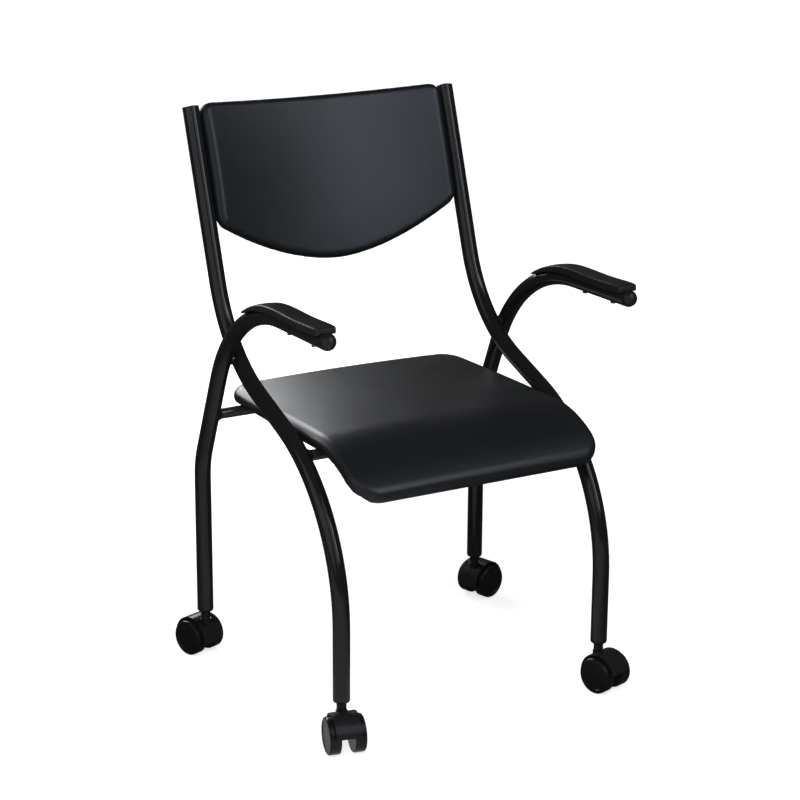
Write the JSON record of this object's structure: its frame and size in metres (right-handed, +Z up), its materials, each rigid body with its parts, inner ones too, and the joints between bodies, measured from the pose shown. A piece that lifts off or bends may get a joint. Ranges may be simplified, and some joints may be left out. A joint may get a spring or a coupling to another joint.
{
  "type": "nesting chair",
  "caption": "Nesting armchair on castors: bent steel tube frame with arms, flip-up padded seat, curved padded backrest and moulded arm pads, all black.",
  "frame": {"origin": "on the floor, on the plane of symmetry, midway between the front and the rear castor stems", "axes": "+Z up, -Y the way the sitter faces, +X the sitter's left"},
  "size_m": [0.5798, 0.5523, 0.8509],
  "materials": {
    "frame_coating": "satin",
    "fitting_plastic": "satin",
    "arm_pad_plastic": "matte",
    "upholstery": "satin",
    "black_board": "matte",
    "zinc_hardware": "satin",
    "castor_steel": "satin",
    "castor_plastic": "satin"
  },
  "bodies": {
    "frame": {"back_leg_tube_left": "frame_coating", "back_leg_tube_right": "frame_coating", "arm_leg_tube_left": "frame_coating", "arm_leg_tube_right": "frame_coating", "front_rail": "frame_coating", "rear_rail": "frame_coating", "rail_welds": "frame_coating", "crossing_welds": "frame_coating", "upright_cap_left": "fitting_plastic", "upright_cap_right": "fitting_plastic", "arm_ball_left": "fitting_plastic", "arm_ball_right": "fitting_plastic", "arm_pad_left": "arm_pad_plastic", "arm_pad_right": "arm_pad_plastic", "arm_pad_screws": "zinc_hardware", "backrest_board": "black_board", "backrest_cushion": "upholstery", "backrest_tabs": "frame_coating", "backrest_screws": "zinc_hardware", "backrest_tee_nuts": "zinc_hardware", "castor_socket_front_right": "fitting_plastic", "castor_socket_rear_right": "fitting_plastic", "castor_socket_front_left": "fitting_plastic", "castor_socket_rear_left": "fitting_plastic"},
    "seat": {"seat_board": "black_board", "seat_cushion": "upholstery", "seat_hinge_clip_left": "fitting_plastic", "seat_hinge_clip_right": "fitting_plastic", "seat_rest_left": "fitting_plastic", "seat_rest_right": "fitting_plastic", "seat_screws": "zinc_hardware"},
    "castor_front_right": {"castor_stem_front_right": "castor_steel", "castor_hood_front_right": "castor_plastic", "castor_axle_front_right": "castor_steel"},
    "castor_wheel_a_front_right": {"castor_wheel_a_front_right": "castor_plastic"},
    "castor_wheel_b_front_right": {"castor_wheel_b_front_right": "castor_plastic"},
    "castor_rear_right": {"castor_stem_rear_right": "castor_steel", "castor_hood_rear_right": "castor_plastic", "castor_axle_rear_right": "castor_steel"},
    "castor_wheel_a_rear_right": {"castor_wheel_a_rear_right": "castor_plastic"},
    "castor_wheel_b_rear_right": {"castor_wheel_b_rear_right": "castor_plastic"},
    "castor_front_left": {"castor_stem_front_left": "castor_steel", "castor_hood_front_left": "castor_plastic", "castor_axle_front_left": "castor_steel"},
    "castor_wheel_a_front_left": {"castor_wheel_a_front_left": "castor_plastic"},
    "castor_wheel_b_front_left": {"castor_wheel_b_front_left": "castor_plastic"},
    "castor_rear_left": {"castor_stem_rear_left": "castor_steel", "castor_hood_rear_left": "castor_plastic", "castor_axle_rear_left": "castor_steel"},
    "castor_wheel_a_rear_left": {"castor_wheel_a_rear_left": "castor_plastic"},
    "castor_wheel_b_rear_left": {"castor_wheel_b_rear_left": "castor_plastic"}
  },
  "joints": [
    {"name": "seat_flip", "type": "hinge", "parent": "frame", "child": "seat", "pos_m": [0, 0.16409, 0.3992], "axis": [-1, 0, 0], "range_deg": [0, 84]},
    {"name": "castor_swivel_front_right", "type": "hinge", "parent": "frame", "child": "castor_front_right", "pos_m": [-0.22, -0.2, 0.08], "axis": [0, 0, 1], "continuous": true},
    {"name": "wheel_a_spin_front_right", "type": "hinge", "parent": "castor_front_right", "child": "castor_wheel_a_front_right", "pos_m": [-0.22345, -0.2146, 0.0275], "axis": [-0.9732, 0.23, 0], "continuous": true},
    {"name": "wheel_b_spin_front_right", "type": "hinge", "parent": "castor_front_right", "child": "castor_wheel_b_front_right", "pos_m": [-0.22345, -0.2146, 0.0275], "axis": [-0.9732, 0.23, 0], "continuous": true},
    {"name": "castor_swivel_rear_right", "type": "hinge", "parent": "frame", "child": "castor_rear_right", "pos_m": [-0.2455, 0.2, 0.08], "axis": [0, 0, 1], "continuous": true},
    {"name": "wheel_a_spin_rear_right", "type": "hinge", "parent": "castor_rear_right", "child": "castor_wheel_a_rear_right", "pos_m": [-0.25033, 0.2142, 0.0275], "axis": [0.9466, 0.3223, 0], "continuous": true},
    {"name": "wheel_b_spin_rear_right", "type": "hinge", "parent": "castor_rear_right", "child": "castor_wheel_b_rear_right", "pos_m": [-0.25033, 0.2142, 0.0275], "axis": [0.9466, 0.3223, 0], "continuous": true},
    {"name": "castor_swivel_front_left", "type": "hinge", "parent": "frame", "child": "castor_front_left", "pos_m": [0.22, -0.2, 0.08], "axis": [0, 0, 1], "continuous": true},
    {"name": "wheel_a_spin_front_left", "type": "hinge", "parent": "castor_front_left", "child": "castor_wheel_a_front_left", "pos_m": [0.22396, -0.21447, 0.0275], "axis": [-0.9646, -0.2639, 0], "continuous": true},
    {"name": "wheel_b_spin_front_left", "type": "hinge", "parent": "castor_front_left", "child": "castor_wheel_b_front_left", "pos_m": [0.22396, -0.21447, 0.0275], "axis": [-0.9646, -0.2639, 0], "continuous": true},
    {"name": "castor_swivel_rear_left", "type": "hinge", "parent": "frame", "child": "castor_rear_left", "pos_m": [0.2455, 0.2, 0.08], "axis": [0, 0, 1], "continuous": true},
    {"name": "wheel_a_spin_rear_left", "type": "hinge", "parent": "castor_rear_left", "child": "castor_wheel_a_rear_left", "pos_m": [0.25982, 0.20446, 0.0275], "axis": [0.2974, -0.9548, 0], "continuous": true},
    {"name": "wheel_b_spin_rear_left", "type": "hinge", "parent": "castor_rear_left", "child": "castor_wheel_b_rear_left", "pos_m": [0.25982, 0.20446, 0.0275], "axis": [0.2974, -0.9548, 0], "continuous": true}
  ]
}
